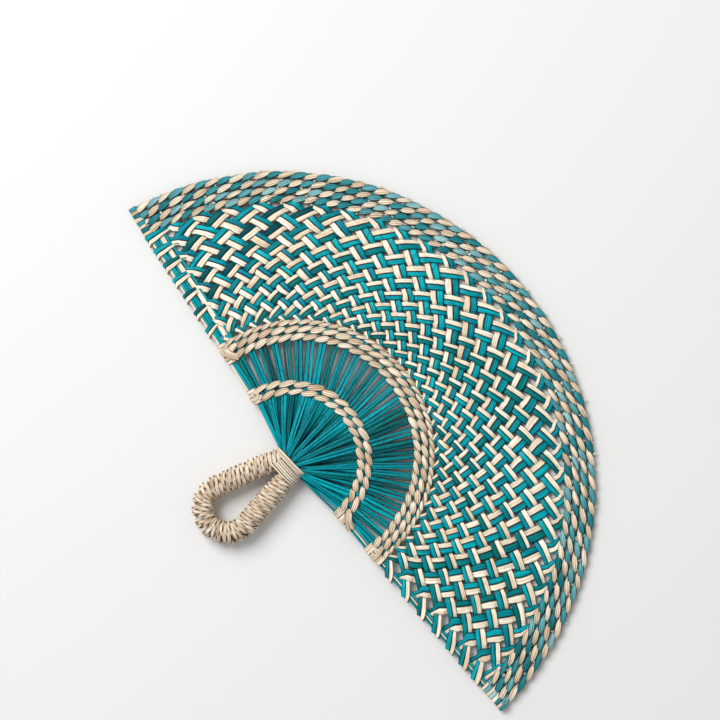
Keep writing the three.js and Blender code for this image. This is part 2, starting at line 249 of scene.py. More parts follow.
def ribbed_profile(groove):
    """Section of a strand of three flat straws laid together."""
    return closed_profile([
        (-0.86, 0.58, 0), (-0.6, 0.92, 0), (-0.32, groove, 1), (0.0, 1.0, 0),
        (0.32, groove, 1), (0.6, 0.92, 0), (0.86, 0.58, 0),
    ])


def round_profile():
    turns = [2 * math.pi * k / ROUND_SIDES for k in range(ROUND_SIDES)]
    return np.array([(math.cos(turn), math.sin(turn), 0) for turn in turns])


def add_object(name, data):
    obj = bpy.data.objects.new(name, data)
    bpy.context.scene.collection.objects.link(obj)
    return obj


class Strands:
    """Collects strands swept along paths into one mesh with several finishes."""

    def __init__(self):
        self.verts, self.faces, self.uvs = [], [], []
        self.tints, self.sides, self.marks, self.finishes = [], [], [], []
        self.count = 0

    def sweep(self, path, up, half_width, half_height, finish, tint, profile=None):
        """Adds a strand with its flat face towards up. Its ends are closed."""
        if profile is None:
            profile = straw_profile(rng.uniform(*GROOVE_HEIGHT), rng.uniform(*GROOVE_PLACE))
        path = np.asarray(path, float)
        n, m = len(path), len(profile)
        half_width = np.broadcast_to(half_width, n)[:, None, None]
        half_height = np.broadcast_to(half_height, n)[:, None, None]
        tangent = unit(np.gradient(path, axis=0))
        across = unit(np.cross(np.broadcast_to(up, path.shape), tangent))
        normal = np.cross(tangent, across)
        ring = (
            path[:, None, :]
            + across[:, None, :] * half_width * profile[None, :, :1]
            + normal[:, None, :] * half_height * profile[None, :, 1:2]
        )
        run = np.concatenate([[0], np.cumsum(np.linalg.norm(np.diff(path, axis=0), axis=1))])
        self.verts.append(ring.reshape(-1, 3))
        self.tints.append(np.repeat(np.broadcast_to(tint, n), m))
        # Mask of the painted shade, which grows towards the strand's sides
        self.sides.append(np.tile(np.abs(profile[:, 0]) ** SIDE_SHADE_POWER, n))
        # Mask of the painted shade in the grooves
        self.marks.append(np.tile(profile[:, 2], n))
        base = self.count
        i, k = np.meshgrid(np.arange(n - 1), np.arange(m), indexing="ij")
        j = (k + 1) % m
        quads = base + np.stack([i * m + k, (i + 1) * m + k, (i + 1) * m + j, i * m + j], axis=-1)
        self.faces += quads.reshape(-1, 4).tolist()
        u0, u1 = k / m, (k + 1) / m
        v0, v1 = run[i], run[i + 1]
        corner = np.stack([u0, v0, u0, v1, u1, v1, u1, v0], axis=-1)
        self.uvs.append(corner.reshape(-1, 2))
        for station, order in ((0, range(m)), (n - 1, range(m - 1, -1, -1))):
            self.faces.append([base + station * m + q for q in order])
            self.uvs.append(np.tile([0.5, run[station]], (m, 1)))
        self.finishes += [finish] * ((n - 1) * m + 2)
        self.count += n * m

    def piece(self, name, node):
        """Makes the mesh of all strands, which stands for a CAD node."""
        verts = (np.concatenate(self.verts) + np.array([hub[0], hub[1], 0])) * MM
        mesh = bpy.data.meshes.new(name)
        mesh.from_pydata(verts.tolist(), [], self.faces)
        used = sorted(set(self.finishes))
        for key in used:
            mesh.materials.append(finishes[key])
        index = {key: i for i, key in enumerate(used)}
        mesh.polygons.foreach_set("material_index", [index[key] for key in self.finishes])
        mesh.polygons.foreach_set("use_smooth", [True] * len(self.faces))
        layer = mesh.uv_layers.new(name="strand")
        layer.data.foreach_set("uv", np.concatenate(self.uvs).ravel())
        for key, values in (("tint", self.tints), ("side", self.sides), ("mark", self.marks)):
            attribute = mesh.attributes.new(key, "FLOAT", "POINT")
            attribute.data.foreach_set("value", np.concatenate(values))
        mesh.set_sharp_from_angle(angle=SHARP_ANGLE)
        obj = add_object(name, mesh)
        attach(obj, "root")
        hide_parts(node)


# Finishes of dry straw

# Noise: how far a strand's tint shifts it, and its scale across a strand, along it and by its tint
STRAND_SEED = (37.0, 0.0, 53.0)
STREAK_ALONG = 0.05
PATCH_SCALE = (1.5, 0.09, 1.0)
CREASE_SCALE = (2.2, 0.7, 1.0)

# Streaks: noise levels of the dark and the light ones, their change of roughness, and their depth
STREAK_DARK_AT = 0.3
STREAK_LIGHT_AT = 0.7
STREAK_ROUGH = 0.16
STREAK_SMOOTH = 0.06
STREAK_DEPTH = 0.2


def grey(level):
    return (level, level, level)


# Noise level and the grey that the colour is multiplied by there
STREAK_STOPS = [(0.55, grey(1.0)), (0.75, grey(1.12))]
PATCH_STOPS = [(0.3, grey(0.9)), (0.7, grey(1.08))]
CREASE_STOPS = [(0.24, grey(0.62)), (0.31, grey(1.0))]

# How strongly crease marks darken the colour and painted shade darkens the grooves, and the span in which
# painted shade darkens grooves and sides
CREASE_STRENGTH = 0.6
GROOVE_SHADE_STRENGTH = 0.9
GROOVE_SHADE_FROM = 0.45
GROOVE_SHADE_SPAN = 0.5
SIDE_SHADE_SPAN = 0.52


def straw_finish(name, colours, streak_dark_and_groove_shade, painted_side_shade, side_shade_from, roughness, grain, bump, gloss):
    """Dry straw: its tint is picked per strand, with fine streaks and creases along it, and painted shade
    on its sides and in its grooves.
    """
    material = bpy.data.materials.new(name)
    material.use_nodes = True
    nodes, links = material.node_tree.nodes, material.node_tree.links
    shader = nodes["Principled BSDF"]

    def attribute(key):
        node = nodes.new("ShaderNodeAttribute")
        node.attribute_name = key
        return node.outputs

    def noise(scale, detail, rough):
        stretch = nodes.new("ShaderNodeMapping")
        stretch.inputs["Scale"].default_value = scale
        links.new(seed.outputs["Vector"], stretch.inputs["Vector"])
        texture = nodes.new("ShaderNodeTexNoise")
        texture.inputs["Scale"].default_value = 1.0
        texture.inputs["Detail"].default_value = detail
        texture.inputs["Roughness"].default_value = rough
        links.new(stretch.outputs["Vector"], texture.inputs["Vector"])
        return texture.outputs["Fac"]

    def ramp(fac, stops):
        node = nodes.new("ShaderNodeValToRGB")
        while len(node.color_ramp.elements) < len(stops):
            node.color_ramp.elements.new(0.5)
        for element, (place, colour) in zip(node.color_ramp.elements, stops):
            element.position = place
            element.color = (*colour, 1)
        links.new(fac, node.inputs["Fac"])
        return node.outputs["Color"]

    def multiply(a, b, strength=1.0):
        node = nodes.new("ShaderNodeMix")
        node.data_type = "RGBA"
        node.blend_type = "MULTIPLY"
        node.inputs["Factor"].default_value = strength
        links.new(a, node.inputs["A"])
        links.new(b, node.inputs["B"])
        return node.outputs["Result"]

    tint = attribute("tint")
    uv = nodes.new("ShaderNodeUVMap")
    uv.uv_map = "strand"
    seed = nodes.new("ShaderNodeVectorMath")
    seed.operation = "MULTIPLY_ADD"
    seed.inputs[1].default_value = STRAND_SEED
    links.new(tint["Vector"], seed.inputs[0])
    links.new(uv.outputs["UV"], seed.inputs[2])

    streaks = noise(scale=(grain, STREAK_ALONG, 1.0), detail=4.0, rough=0.6)
    patches = noise(scale=PATCH_SCALE, detail=2.0, rough=0.5)
    creases = noise(scale=CREASE_SCALE, detail=1.0, rough=0.4)
    places = [i / (len(colours) - 1) for i in range(len(colours))]
    base = ramp(tint["Fac"], list(zip(places, colours)))
    lines = ramp(streaks, [(STREAK_DARK_AT, streak_dark_and_groove_shade), *STREAK_STOPS])
    cloud = ramp(patches, PATCH_STOPS)
    marks = ramp(creases, CREASE_STOPS)
    # Painted shade: the colour darkens towards each strand's sides
    sides = ramp(attribute("side")["Fac"], [(side_shade_from, grey(1)), (side_shade_from + SIDE_SHADE_SPAN, painted_side_shade)])
    # Painted shade: the colour darkens in each strand's grooves, in the dark streak colour
    groove_shade = ramp(attribute("mark")["Fac"], [(GROOVE_SHADE_FROM, grey(1)), (GROOVE_SHADE_FROM + GROOVE_SHADE_SPAN, streak_dark_and_groove_shade)])
    colour = multiply(multiply(base, lines), cloud)
    colour = multiply(colour, marks, CREASE_STRENGTH)
    colour = multiply(multiply(colour, sides), groove_shade, GROOVE_SHADE_STRENGTH)
    links.new(colour, shader.inputs["Base Color"])

    dull, bright = grey(roughness + STREAK_ROUGH), grey(roughness - STREAK_SMOOTH)
    rough = ramp(streaks, [(STREAK_DARK_AT, dull), (STREAK_LIGHT_AT, bright)])
    links.new(rough, shader.inputs["Roughness"])
    shader.inputs["Specular IOR Level"].default_value = gloss
    height = nodes.new("ShaderNodeBump")
    height.inputs["Strength"].default_value = bump
    height.inputs["Distance"].default_value = STREAK_DEPTH * MM
    links.new(streaks, height.inputs["Height"])
    links.new(height.outputs["Normal"], shader.inputs["Normal"])
    return material


# Each finish's side colour is painted shade on its strands' sides. Its streak colour also paints shade in
# the grooves.
finishes = {
    "teal": straw_finish(
        "teal_straw",
        colours=[(0.001, 0.075, 0.105), (0.001, 0.210, 0.200), (0.001, 0.300, 0.345),
                 (0.001, 0.410, 0.475), (0.002, 0.530, 0.580), (0.001, 0.225, 0.335)],
        streak_dark_and_groove_shade=(0.3, 0.45, 0.52), painted_side_shade=(0.025, 0.055, 0.08), side_shade_from=0.15,
        roughness=0.38, grain=9.0, bump=0.6, gloss=0.10,
    ),
    "natural": straw_finish(
        "natural_straw",
        colours=[(0.86, 0.72, 0.54), (0.96, 0.86, 0.69), (0.99, 0.93, 0.78), (1.0, 0.96, 0.84)],
        streak_dark_and_groove_shade=(0.76, 0.61, 0.44), painted_side_shade=(0.11, 0.07, 0.04), side_shade_from=0.33,
        roughness=0.42, grain=9.0, bump=0.6, gloss=0.3,
    ),
    "band": straw_finish(
        "band_straw",
        colours=[(0.76, 0.62, 0.45), (0.90, 0.77, 0.60), (0.97, 0.88, 0.72), (1.0, 0.93, 0.79)],
        streak_dark_and_groove_shade=(0.58, 0.44, 0.30), painted_side_shade=(0.06, 0.04, 0.02), side_shade_from=0.2,
        roughness=0.45, grain=9.0, bump=0.7, gloss=0.3,
    ),
    "aqua": straw_finish(
        "aqua_straw",
        colours=[(0.005, 0.180, 0.205), (0.03, 0.31, 0.34), (0.16, 0.46, 0.49), (0.42, 0.67, 0.66)],
        streak_dark_and_groove_shade=(0.4, 0.55, 0.6), painted_side_shade=(0.035, 0.07, 0.09), side_shade_from=0.2,
        roughness=0.38, grain=9.0, bump=0.6, gloss=0.15,
    ),
    "cord": straw_finish(
        "handle_cord",
        colours=[(0.78, 0.62, 0.45), (0.90, 0.76, 0.59), (0.97, 0.87, 0.71), (0.99, 0.92, 0.79)],
        streak_dark_and_groove_shade=(0.50, 0.36, 0.24), painted_side_shade=(0.12, 0.065, 0.035), side_shade_from=0.24,
        roughness=0.55, grain=7.0, bump=0.9, gloss=0.3,
    ),
    "core": straw_finish(
        "core_straw",
        colours=[(0.34, 0.22, 0.13), (0.46, 0.32, 0.2)],
        streak_dark_and_groove_shade=(0.5, 0.4, 0.3), painted_side_shade=(0.8, 0.75, 0.7), side_shade_from=0.25,
        roughness=0.7, grain=7.0, bump=0.9, gloss=0.2,
    ),
}

# Woven strips, each a natural and a teal straw side by side

# Share of its room that a strip fills, how far it strays, in columns, and how it waves over and under
STRIP_COVER = 0.86
COVER_SPREAD = (0.93, 1.04)
STRIP_SWAY = 0.05
STRIP_LIFT = 0.75
STRIP_HALF_THICK = 0.4
STRIP_PINCH = 0.12

# The wave from one crossing to the next: share of the way, and height from one face to the other
WAVE = (
    (0, 1), (0.2, 0.97), (0.34, 0.8), (0.43, 0.45), (0.5, 0),
    (0.57, -0.45), (0.66, -0.8), (0.8, -0.97),
)

# By the mid band: rows before the weave with the strip's width there, and how it opens out after them
START_ROWS = ((-0.5, 2.2), (-0.2, 2.5))
START_LIFT = 0.4
START_WIDTH = 2.8
START_SHARE = 0.7
START_SPAN = 1.2

# By the border: rows over which a strip narrows, and its end, which runs on between the border's strands
NARROW_FROM = 1.8
NARROW_SPAN = 1.7
NARROW_POWER = 1.2
END_PARTS = (0, 0.25, 0.5, 0.75, 0.93, 1)
END_WIDTH = 5.2
END_FULL = 0.96
END_TAPER = 0.5
END_DRIFT = 0.8
DRIFT_SPAN = (-0.5, 1)
END_INSET = 1.2
END_TRIM = (-1.6, 0.6)
END_WAVE = 0.25
END_WAVE_RATE = 9
END_SINK = 0.35

# On the left: where strips narrow less, and where painted light makes those that lean one way lighter,
# with a wider natural straw, and those that lean the other way darker
LEFT_ANGLES = (-0.9, -0.1)
LEFT_WIDE = 0.6
LEFT_SHARE = 0.08
LEFT_PAINTED_LIGHT = 0.28

# Round an edge stem: how far out, up and along a strip passes, and how wide it is there
EDGE_REACH = 2.3
EDGE_LIFT = 1.4
EDGE_SLIP = 2.4
EDGE_SHIFT = 2.0
EDGE_WIDTH = 7.6
EDGE_NARROW = 0.7
EDGE_WIDEN = 0.3
TURN_ANGLES = np.radians([15, 50, 90, 130, 165])
TURN_BULGE = 0.9
TURN_WIDTH = 0.9
TURN_IN = (0.05, 0.5)
TURN_OUT = (0.5, 0.95)

# The two straws of a strip: the natural one's share, their fit, their taper and their tint
NATURAL_SHARE = (0.41, 0.57)
STRAW_FIT = 0.97
STRAW_STEP = 0.06
POINT_WIDTH = 0.75
THIN_STEP = 0.04
THIN_SHARE = 0.02
RIBBED_SHARE = 0.3
STRIP_GROOVE = (0.5, 0.8)
STRIP_TINT = (0.2, 0.95)
STRIP_TINT_LIMITS = (0.05, 0.95)
TEAL_SHORT = 2


def strip_room(column, row, direction):
    """Distance from a strip to the next one that runs the same way."""
    a = blade(*crossing(column - 0.5, row))
    b = blade(*crossing(column + 0.5, row))
    gap = (b - a)[:2]
    return abs(gap[0] * direction[1] - gap[1] * direction[0])


def strip_width(room, row, wave, left):
    """Width of a strip in its room: less between the faces, by the mid band and by the border."""
    width = room * (1 - STRIP_PINCH * (1 - abs(wave)))
    width = min(width, START_WIDTH + START_SHARE * width * min(1, row / START_SPAN))
    narrow = np.clip((row - WEAVE_ROWS + NARROW_FROM) / NARROW_SPAN, 0, 1) ** NARROW_POWER
    return width - max(0, width - END_WIDTH) * narrow * (1 - LEFT_WIDE * left)


def edge_turn(side, row):
    """Point of an edge stem where a strip turns back, with the ways out of and along that edge."""
    angle, out, along = edge_ways(side)
    radius = crossing(LEFT_EDGE if side < 0 else RIGHT_EDGE, row)[1] + EDGE_SHIFT
    return blade(angle, radius), out, along


def turn_stations(corner, level, flip, wide):
    """Stations of a strip on its way round an edge stem, from one face to the other."""
    edge, out, along = corner
    stations = []
    for turn in TURN_ANGLES:
        normal = -math.cos(turn) * level * UP + math.sin(turn) * out
        point = edge + out * (EDGE_REACH + TURN_BULGE * math.sin(turn))
        point = point + along * EDGE_SLIP * (turn / math.pi - 0.5)
        point = point - UP * EDGE_LIFT * level * math.cos(turn)
        stations.append((point, -flip * level * normal, TURN_WIDTH * wide, 0))
    return stations


def end_stations(column, heading, flip):
    """Stations of a strip's end, which passes through the border to the rim."""
    stations = []
    trim = rng.uniform(*END_TRIM)
    for part in END_PARTS:
        drift = heading * END_DRIFT * smooth(*DRIFT_SPAN, part)
        angle = crossing(min(max(column + drift, 0), STEM_COUNT - 1), WEAVE_ROWS)[0]
        start, end = field_end(angle) + END_INSET, rim_at(angle) + trim
        lift = END_WAVE * heading * math.cos(part * END_WAVE_RATE) - END_SINK
        wide = END_WIDTH * (END_FULL - END_TAPER * part)
        stations.append((blade(angle, start + (end - start) * part, lift), flip * UP, wide, 0))
    return stations


def strip_path(column, heading):
    """Points, facing, width and painted light (a lighter or darker tint by lean, on the left) of a strip
    from the mid band to the rim.
    """
    stations, flip, corner = [], 1, None
    for row, wide in START_ROWS:
        angle, radius = crossing(column + heading * row / 2, row)
        stations.append((blade(angle, radius, -START_LIFT * heading), UP, wide, 0))
    cover = STRIP_COVER * rng.uniform(*COVER_SPREAD)
    sway = rng.uniform(-STRIP_SWAY, STRIP_SWAY, WEAVE_ROWS + 1)
    for row in range(WEAVE_ROWS):
        level = -heading if row % 2 == 0 else heading
        following = column + heading / 2
        leaving, turning = corner is not None, following in (LEFT_EDGE, RIGHT_EDGE)
        start = blade(*crossing(column + sway[row], row))
        goal = blade(*crossing(following + sway[row + 1], row + 1))
        if leaving:
            edge, out, along = corner
            start = edge + out * EDGE_REACH + along * EDGE_SLIP / 2
            corner = None
        if turning:
            corner = edge_turn(heading, row + 1)
            edge, out, along = corner
            goal = edge + out * EDGE_REACH - along * EDGE_SLIP / 2
        direction = unit((goal - start)[:2])
        for part, wave in WAVE:
            if part == 0 and (row == 0 or leaving):
                continue
            column_here, row_here = column + heading * part / 2, row + part
            nudge = sway[row] * (1 - part) + sway[row + 1] * part
            angle, radius = crossing(column_here + nudge, row_here)
            left = 1 - smooth(*LEFT_ANGLES, angle)
            room = cover * strip_room(column_here, row_here, direction)
            width = strip_width(room, row_here, wave, left)
            point = blade(angle, radius)
            if turning or leaving:
                point = start + (goal - start) * part
                near = part if turning else 1 - part
                edge_width = EDGE_WIDTH * (EDGE_NARROW + EDGE_WIDEN * row_here / WEAVE_ROWS)
                width = width + (edge_width - width) * near
                wave = 1 - 2 * smooth(*(TURN_IN if turning else TURN_OUT), part)
            high = EDGE_LIFT if (turning and wave < 0) or (leaving and wave > 0) else STRIP_LIFT
            # The last value is painted light: lighter for strips that lean one way on the left, darker for
            # the others
            stations.append((point + UP * high * level * wave, flip * UP, width, -heading * left))
        column = following
        if turning:
            stations += turn_stations(corner, level, flip, stations[-1][2])
            heading, flip = -heading, -flip
    stations += end_stations(column, heading, flip)
    return [np.array(values) for values in zip(*stations)]


def add_strip(strands, column, heading):
    """A natural and a teal straw side by side. The teal one ends inside the border."""
    path, up, width, painted_light = strip_path(column, heading)
    tangent = unit(np.gradient(path, axis=0))
    across = unit(np.cross(up, tangent))
    above = np.cross(tangent, across)
    share = rng.uniform(*NATURAL_SHARE) + LEFT_SHARE * np.clip(painted_light, 0, 1)
    pointed = np.clip(len(path) - 1 - np.arange(len(path)), POINT_WIDTH, 1)
    for finish, part, sign in (("natural", share, 1), ("teal", 1 - share, -1)):
        centre = path + across * (sign * width * (1 - part) / 2)[:, None]
        centre = centre + above * STRAW_STEP * sign
        thinner = rng.uniform(0.0, THIN_STEP, len(path)).cumsum() * THIN_SHARE
        half = width * part / 2 * STRAW_FIT * pointed - thinner
        ribbed = rng.uniform() < RIBBED_SHARE
        profile = ribbed_profile(rng.uniform(*STRIP_GROOVE)) if ribbed else None
        # Painted light and shade: the tint is lighter or darker by the strip's lean on the left
        tint = np.clip(rng.uniform(*STRIP_TINT) + LEFT_PAINTED_LIGHT * painted_light, *STRIP_TINT_LIMITS)
        kept = slice(len(path) - (TEAL_SHORT if finish == "teal" else 0))
        strands.sweep(centre[kept], up[kept], half[kept], STRIP_HALF_THICK, finish, tint[kept], profile)


# Stems, which fan out of the neck

# Width of a stem past the ring, the share of it at the neck, and how its straws lie
STEM_WIDTH = (3.9, 5.1)
STEM_ROOT = 0.45
STEM_WIDEN = 0.15
STEM_LEAN = 0.4
STEM_ARCH = 0.5
STRAW_HALF_THICK = 0.6
STRAW_SPREAD = (0.75, 1.25)
STRAW_TAPER = 0.62
STRAW_RISE = (-0.3, 0.5)
STRAW_BEND = 0.3
THIRD_STRAW = 0.2
RING_STATIONS = 9
BAND_STATIONS = 7

# The straw behind each stem, which ends at the ring. Its darkest teal tint is painted shade in the gaps
# between the stems.
BEHIND_PLACES = (-0.45, 0.45)
BEHIND_WIDTH = 0.6
BEHIND_DROP = 1.3
BEHIND_PAINTED_SHADE = 0.02

# Layers in which the stems leave the neck. There the lower ones get painted shade, a darker tint, and the
# upper ones painted light, a lighter tint. Both fade out past the ring.
LAYER_COUNT = 5
LAYER_SKIP = 3
LAYER_STEP = 0.95
LAYER_PAINTED_LIGHT = 0.11
LAYER_LIGHT_FADE = 1.3
STEM_TONE = (0.2, 0.62)
STRAW_TONE = (-0.3, 0.25)
STEM_TINT_LIMITS = (0.06, 0.9)

# Share of the neck's width at the stems, and where in it the stems start
NECK_FRONT = 0.75
ROOT_SPREAD = 0.85
ROOT_SHIFT = 0.08
ROOT_DEPTH = 2.5

neck_low, neck_high = box_of("neck_binding")
neck_x = (neck_low[0] + neck_high[0]) / 2 - hub[0]
neck_half = (neck_high[0] - neck_low[0]) / 2
neck_front_half = NECK_FRONT * neck_half
neck_high_half = (neck_high[2] - neck_low[2]) / 2
neck_front = neck_high[1] - hub[1]
neck_back = neck_front - NECK_LENGTH


def stem_root(share):
    """Where a stem comes out of the neck, from 0 at its left to 1 at its right."""
    x = neck_x + neck_front_half * (ROOT_SPREAD * (2 * share - 1) + ROOT_SHIFT)
    return np.array([x, neck_front - ROOT_DEPTH, hub_z])


def add_stem(strands, column):
    """Two or three straws from the neck, where they overlap, to the mid band, and one behind them, painted
    dark as shade.
    """
    angle = stem_angle(column)
    aside = sideways(angle)
    root = stem_root((column - LEFT_EDGE) / STEM_COUNT)
    level = (column * LAYER_SKIP) % LAYER_COUNT - LAYER_COUNT // 2
    layer = LAYER_STEP * level
    count = 3 if rng.uniform() < THIRD_STRAW else 2
    full = rng.uniform(*STEM_WIDTH)
    ring = rows["ring_row_1"].at(angle)
    end = rows["mid_row_outer"].at(angle)
    tone = rng.uniform(*STEM_TONE)
    lean = rng.uniform(-STEM_LEAN, STEM_LEAN)
    share = rng.uniform(*STRAW_SPREAD, count)
    share = share / share.sum()
    starts = np.cumsum(share) - share / 2 - 0.5
    for straw in range(-1, count):
        behind = straw < 0
        place = rng.choice(BEHIND_PLACES) if behind else starts[straw]
        half = full * (BEHIND_WIDTH if behind else share[straw]) / 2
        rise = -BEHIND_DROP if behind else rng.uniform(*STRAW_RISE)
        bend = rng.uniform(-STRAW_BEND, STRAW_BEND)
        path, wide = [], []
        for part in np.linspace(0, 1, RING_STATIONS):
            bow = math.sin(math.pi * part)
            middle = (root + UP * layer) * (1 - part) + blade(angle, ring, rise) * part
            over = UP * (layer * STEM_ARCH + rise) * bow
            apart = place * full * (STEM_ROOT + (1 - STEM_ROOT) * part)
            path.append(middle + over + aside * (apart + (bend + lean) * bow))
            wide.append(half * (STRAW_TAPER + (1 - STRAW_TAPER) * part))
        for part in np.linspace(0, 1, BAND_STATIONS)[1:]:
            radius = ring + (end - ring) * part
            apart = place * full * (1 + STEM_WIDEN * part)
            path.append(blade(angle, radius, rise) + aside * (apart + bend * math.sin(math.pi * part)))
            wide.append(half)
        near = np.clip(LAYER_LIGHT_FADE - np.arange(len(path)) / (RING_STATIONS - 1), 0, 1)
        # Painted shade and light: straws in lower layers get a darker tint near the neck, those in upper
        # layers a lighter one
        tint = np.clip(tone + rng.uniform(*STRAW_TONE) + LAYER_PAINTED_LIGHT * level * near, *STEM_TINT_LIMITS)
        # The straw behind takes the darkest tint: painted shade in the gaps between stems
        if behind:
            path, wide, tint = path[:RING_STATIONS], wide[:RING_STATIONS], BEHIND_PAINTED_SHADE
        strands.sweep(path, UP, wide, STRAW_HALF_THICK, "teal", tint)


for column in range(STEM_COUNT):
    strands = Strands()
    add_stem(strands, column)
    for heading in (1, -1):
        add_strip(strands, column, heading)
    node = f"stem_{column + 1:02d}"
    strands.piece(f"{node}_straws", node)

# Twined rows: two strands twist round each other and clasp the stems between them

# Stitches: how far a row reaches past the edges, and how its stitches vary
STITCH_STEPS = 12
ROW_OVERHANG = 0.6
STITCH_EARLY = 0.12
STITCH_DRIFT = 0.3
STITCH_TINT = (0.05, 0.95)
STITCH_SIZE = (0.86, 1.1)
STITCH_GROOVE = (0.6, 0.75)
STITCH_FLAT = 0.42
STITCH_THICK = 0.15
LENS_POWER = 0.7

# Strands laid round an edge stem at a row's end: the second of each pair lies over the first
LOOP_TURNS = 1.15
LOOP_STATIONS = 44
LOOP_START = 0.3
LOOP_HALF_WIDTH = (1.1, 1.6)
LOOP_HALF_THICK = 0.4
LOOP_REACH = (2.5, 3.1)
LOOP_RISE = 1.75
LOOP_RISE_STEP = 0.4
LOOP_SLIP = (0.5, 2.5)

# Cut straw ends laid over an edge stem
TAIL_STATIONS = 9
TAIL_START = 4.6
TAIL_START_SPREAD = 2.4
TAIL_BACK = 1.0
TAIL_STOP = 0.6
TAIL_STOP_SPREAD = 3.6
TAIL_CUT = (-1.2, 0.6)
TAIL_LIFT = 1.3
TAIL_ARCH = 1.5
TAIL_ARCH_FROM = 0.15
TAIL_ARCH_SPAN = 0.75
TAIL_STEP = 0.25
TAIL_BOW = 1.2
TAIL_HALF_WIDTH = (0.8, 1.15)
TAIL_HALF_THICK = 0.4
TAIL_TINT = (0.1, 0.8)
TAIL_GROOVE = 0.6

# Straw ends coiled flat against an edge stem
KNOT_TURN = 3.4 * math.pi
KNOT_STATIONS = 34
KNOT_TIGHTEN = 0.24
KNOT_FLAT = 0.8
KNOT_LIFT = 1.5
KNOT_CLIMB = 0.22
KNOT_INSET = 0.8
KNOT_ROLL = 0.5
KNOT_STRAW = 0.32
KNOT_HALF_THICK = 0.55
KNOT_TINT = (0.2, 0.8)
KNOT_GROOVE = 0.7

# Stitches of each kind of row: strand width, swing and lift, width at the tips, roll and length on top
BAND_STITCH = dict(wide=1.0, swing=0.95, lift=1.35, plump=0.38, roll=0.5, stretch=0.14)
OUTER_STITCH = dict(wide=0.95, swing=0.75, lift=1.1, plump=0.4, roll=0.45, stretch=0.14)
BORDER_STITCH = dict(wide=0.93, swing=1.1, lift=1.3, plump=0.25, roll=0.4, stretch=0.19)
BAND_PAIR = ("band", "band")
BORDER_PAIR = ("band", "aqua")
BORDER_ROWS = 4
BORDER_OFFSET = 1.3


def add_row(strands, row, stitches, offset, pair, wide, swing, lift, plump, roll, stretch):
    """Two strands that twist round each other along a row, in stitches that taper at both ends."""
    ends = half_spread + ROW_OVERHANG / row.at(half_spread)
    knots = np.arange(-SPARE_BEFORE, stitches + SPARE_AFTER)
    early = rng.uniform(-STITCH_EARLY, STITCH_EARLY, len(knots))
    drift = rng.uniform(-STITCH_DRIFT, STITCH_DRIFT, len(knots))
    for strand, finish in enumerate(pair):
        path, up, width, tint = [], [], [], []
        tone = rng.uniform(*STITCH_TINT, stitches + SPARE_AFTER)
        size = rng.uniform(*STITCH_SIZE, stitches + SPARE_AFTER)
        for i in range(stitches * STITCH_STEPS + 1):
            place = i / (stitches * STITCH_STEPS) * stitches
            stitch = place + offset + strand + np.interp(place, knots, early)
            turn = math.pi * stitch
            which = int(math.floor(stitch / 2 + TINT_PHASE)) % len(tone)
            angle = 2 * ends * ((place + stretch * math.sin(turn)) / stitches - 0.5)
            radial = swing * math.sin(turn) + np.interp(place, knots, drift)
            path.append(blade(angle, row.at(angle), lift * math.cos(turn)) + outward(angle) * radial)
            up.append(UP + roll * math.sin(turn) * outward(angle))
            lens = plump + (1 - plump) * abs(math.cos(turn)) ** LENS_POWER
            width.append(row.half_width * wide * size[which] * lens)
            tint.append(tone[which])
        ribs = ribbed_profile(rng.uniform(*STITCH_GROOVE))
        strands.sweep(path, up, width, STITCH_FLAT * np.array(width) + STITCH_THICK, finish, tint, ribs)


def add_edge_loop(strands, side, radius, half_width, reach, rise, finish, slip):
    """A strand laid round an edge stem at the end of a row."""
    angle, out, along = edge_ways(side)
    path, up = [], []
    start = math.pi * (2 - LOOP_TURNS) + rng.uniform(-LOOP_START, LOOP_START)
    whole = LOOP_TURNS * 2 * math.pi
    for turn in np.linspace(start, start + whole, LOOP_STATIONS):
        part = (turn - start) / whole
        around = math.sin(turn) * out * reach + math.cos(turn) * UP * rise
        path.append(blade(angle, radius) + around + along * slip * (part - 0.5))
        up.append(unit(math.sin(turn) * out / reach + math.cos(turn) * UP / rise))
    strands.sweep(path, up, half_width, LOOP_HALF_THICK, finish, rng.uniform())


def add_tail(strands, row, side, inset, length, count):
    """The cut ends of a row's straws, laid slantwise over the edge stem."""
    angle, out, along = edge_ways(side)
    middle = blade(angle, row.at(angle) - inset)
    for straw in range(count):
        spread = straw / (count - 1) - 0.5
        start = middle - out * (TAIL_START + spread) + along * (spread * TAIL_START_SPREAD - TAIL_BACK)
        reach = length + rng.uniform(*TAIL_CUT)
        stop = middle + out * (TAIL_STOP - TAIL_STOP_SPREAD * spread) + along * reach
        path = []
        for part in np.linspace(0, 1, TAIL_STATIONS):
            arch = TAIL_ARCH * math.sin(math.pi * (TAIL_ARCH_FROM + TAIL_ARCH_SPAN * part))
            high = TAIL_LIFT + arch - TAIL_STEP * straw * part
            bow = out * TAIL_BOW * math.sin(math.pi * part)
            path.append(start * (1 - part) + stop * part + UP * high + bow)
        wide = np.linspace(*TAIL_HALF_WIDTH, TAIL_STATIONS)
        tint = rng.uniform(*TAIL_TINT)
        strands.sweep(path, UP, wide, TAIL_HALF_THICK, "band", tint, ribbed_profile(TAIL_GROOVE))


def add_knot(strands, row, side, inset, size):
    """A straw's end coiled flat against the edge stem."""
    angle, out, along = edge_ways(side)
    radius = row.at(angle) - inset
    path, up = [], []
    for turn in np.linspace(0, KNOT_TURN, KNOT_STATIONS):
        reach = size * (1 - KNOT_TIGHTEN * turn / math.pi)
        flat = out * reach * KNOT_FLAT * math.cos(turn) + along * reach * math.sin(turn)
        lift = KNOT_LIFT + KNOT_CLIMB * turn / math.pi
        path.append(blade(angle, radius, lift) - out * KNOT_INSET + flat)
        up.append(UP + KNOT_ROLL * unit(flat))
    tint = rng.uniform(*KNOT_TINT)
    strands.sweep(path, up, KNOT_STRAW * size, KNOT_HALF_THICK, "band", tint, ribbed_profile(KNOT_GROOVE))


